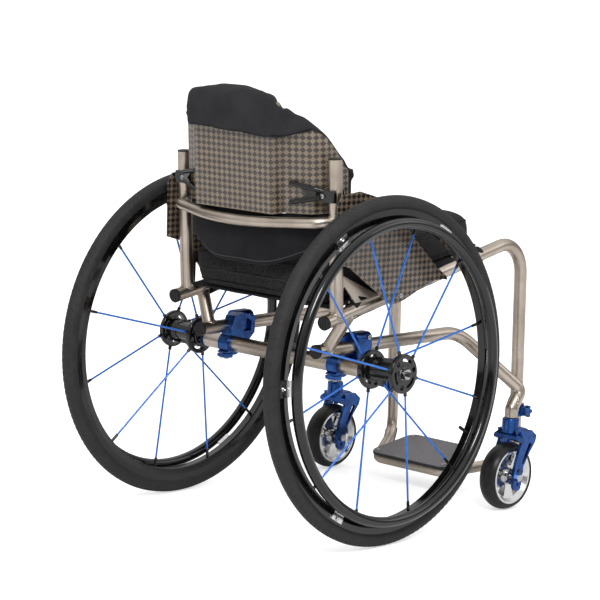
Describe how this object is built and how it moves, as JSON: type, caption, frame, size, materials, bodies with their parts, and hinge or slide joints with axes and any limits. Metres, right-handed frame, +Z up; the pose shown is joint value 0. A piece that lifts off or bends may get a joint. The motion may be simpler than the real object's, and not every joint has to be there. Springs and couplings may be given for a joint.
{
  "type": "manual wheelchair",
  "caption": "Rigid-frame manual wheelchair: cambered quick-release rear wheels with push rims, swivel casters, curved back shell, side guards, seat cushion and tubular footrest.",
  "frame": {"origin": "on the floor, under the middle of the chair's overall box; the rear axle line crosses the centre plane 103.3 mm behind it and 305.8 mm up (at the hubs)", "axes": "+Z up, front faces -Y, the user's left is +X"},
  "size_m": [0.6, 0.8188, 0.793],
  "materials": {
    "titanium": "brushed titanium",
    "black_rubber": "matt",
    "tyre_rubber": "fine tread",
    "black_anodised": "gloss black anodised",
    "blue_anodised": "satin blue anodised",
    "azure_anodised": "bright blue anodised",
    "silver_aluminium": "polished",
    "steel": "plated",
    "carbon_weave": "clear coated woven composite",
    "seat_fabric": "woven",
    "mesh_fabric": "spacer mesh",
    "charcoal_fabric": "brushed knit",
    "grit_coating": "grit",
    "plate_aluminium": "black powder coat"
  },
  "bodies": {
    "frame": {"frame_weldment": "titanium", "rail_end_caps": "black_rubber", "cane_caps": "black_rubber", "camber_tube": "titanium", "camber_plugs": "blue_anodised", "axle_clamps": "blue_anodised", "axle_clamp_caps": "blue_anodised", "clamp_bolts": "steel", "seat_sling": "seat_fabric", "sling_screws": "steel", "side_guard_left": "carbon_weave", "side_guard_right": "carbon_weave", "guard_screws": "steel", "caster_stems": "steel", "footrest_clamps": "blue_anodised"},
    "footrest": {"footrest_tube": "titanium", "footplate": "plate_aluminium", "footplate_grip": "grit_coating", "footplate_screws": "steel", "bend_guards": "black_rubber"},
    "back_support": {"cane_clamps": "black_anodised", "cane_clamp_screws": "steel", "back_shell": "carbon_weave", "back_pad": "charcoal_fabric"},
    "cushion": {"seat_cushion": "mesh_fabric"},
    "wheel_left": {"rear_tyre_left": "tyre_rubber", "inner_tube_left": "black_rubber", "rim_left": "black_anodised", "spokes_left": "azure_anodised", "spoke_fittings_left": "black_anodised", "hub_left": "black_anodised", "hub_bearings_left": "steel", "pushrim_left": "black_anodised", "pushrim_tabs_left": "silver_aluminium"},
    "axle_left": {"quick_release_axle_left": "steel"},
    "button_left": {"release_button_left": "black_anodised"},
    "fork_left": {"caster_fork_left": "blue_anodised", "swivel_bearings_left": "steel", "caster_axle_left": "steel"},
    "caster_left": {"caster_wheel_left": "silver_aluminium", "caster_tyre_left": "tyre_rubber", "caster_bearings_left": "steel"},
    "wheel_right": {"rear_tyre_right": "tyre_rubber", "inner_tube_right": "black_rubber", "rim_right": "black_anodised", "spokes_right": "azure_anodised", "spoke_fittings_right": "black_anodised", "hub_right": "black_anodised", "hub_bearings_right": "steel", "pushrim_right": "black_anodised", "pushrim_tabs_right": "silver_aluminium"},
    "axle_right": {"quick_release_axle_right": "steel"},
    "button_right": {"release_button_right": "black_anodised"},
    "fork_right": {"caster_fork_right": "blue_anodised", "swivel_bearings_right": "steel", "caster_axle_right": "steel"},
    "caster_right": {"caster_wheel_right": "silver_aluminium", "caster_tyre_right": "tyre_rubber", "caster_bearings_right": "steel"}
  },
  "joints": [
    {"name": "left_axle_pull", "type": "slide", "parent": "frame", "child": "axle_left", "axis": [0.9994, 0, 0.0349], "range_m": [0, 0.13]},
    {"name": "left_wheel_spin", "type": "hinge", "parent": "axle_left", "child": "wheel_left", "pos_m": [0.2474, 0.1033, 0.30582], "axis": [0.9994, 0, 0.0349], "continuous": true},
    {"name": "left_button_press", "type": "slide", "parent": "axle_left", "child": "button_left", "axis": [-0.9994, 0, -0.0349], "range_m": [0, 0.005], "stiffness_N_per_m": 800, "springref_m": -0.002},
    {"name": "left_caster_swivel", "type": "hinge", "parent": "frame", "child": "fork_left", "pos_m": [0.2205, -0.2922, 0.16], "axis": [0, 0, 1], "continuous": true},
    {"name": "left_caster_spin", "type": "hinge", "parent": "fork_left", "child": "caster_left", "pos_m": [0.2205, -0.2857, 0.0635], "axis": [1, 0, 0], "continuous": true},
    {"name": "right_axle_pull", "type": "slide", "parent": "frame", "child": "axle_right", "axis": [-0.9994, 0, 0.0349], "range_m": [0, 0.13]},
    {"name": "right_wheel_spin", "type": "hinge", "parent": "axle_right", "child": "wheel_right", "pos_m": [-0.2474, 0.1033, 0.30582], "axis": [-0.9994, 0, 0.0349], "continuous": true},
    {"name": "right_button_press", "type": "slide", "parent": "axle_right", "child": "button_right", "axis": [0.9994, 0, -0.0349], "range_m": [0, 0.005], "stiffness_N_per_m": 800, "springref_m": -0.002},
    {"name": "right_caster_swivel", "type": "hinge", "parent": "frame", "child": "fork_right", "pos_m": [-0.2205, -0.2922, 0.16], "axis": [0, 0, 1], "continuous": true},
    {"name": "right_caster_spin", "type": "hinge", "parent": "fork_right", "child": "caster_right", "pos_m": [-0.2205, -0.2857, 0.0635], "axis": [1, 0, 0], "continuous": true},
    {"name": "footrest_height", "type": "slide", "parent": "frame", "child": "footrest", "axis": [0, 0.038, 0.9993], "range_m": [-0.01, 0.035]},
    {"name": "back_height", "type": "slide", "parent": "frame", "child": "back_support", "axis": [0, 0.0785, 0.9969], "range_m": [0, 0.012]},
    {"name": "cushion_removal", "type": "slide", "parent": "frame", "child": "cushion", "axis": [0, -0.9821, 0.1884], "range_m": [0, 0.2]}
  ]
}
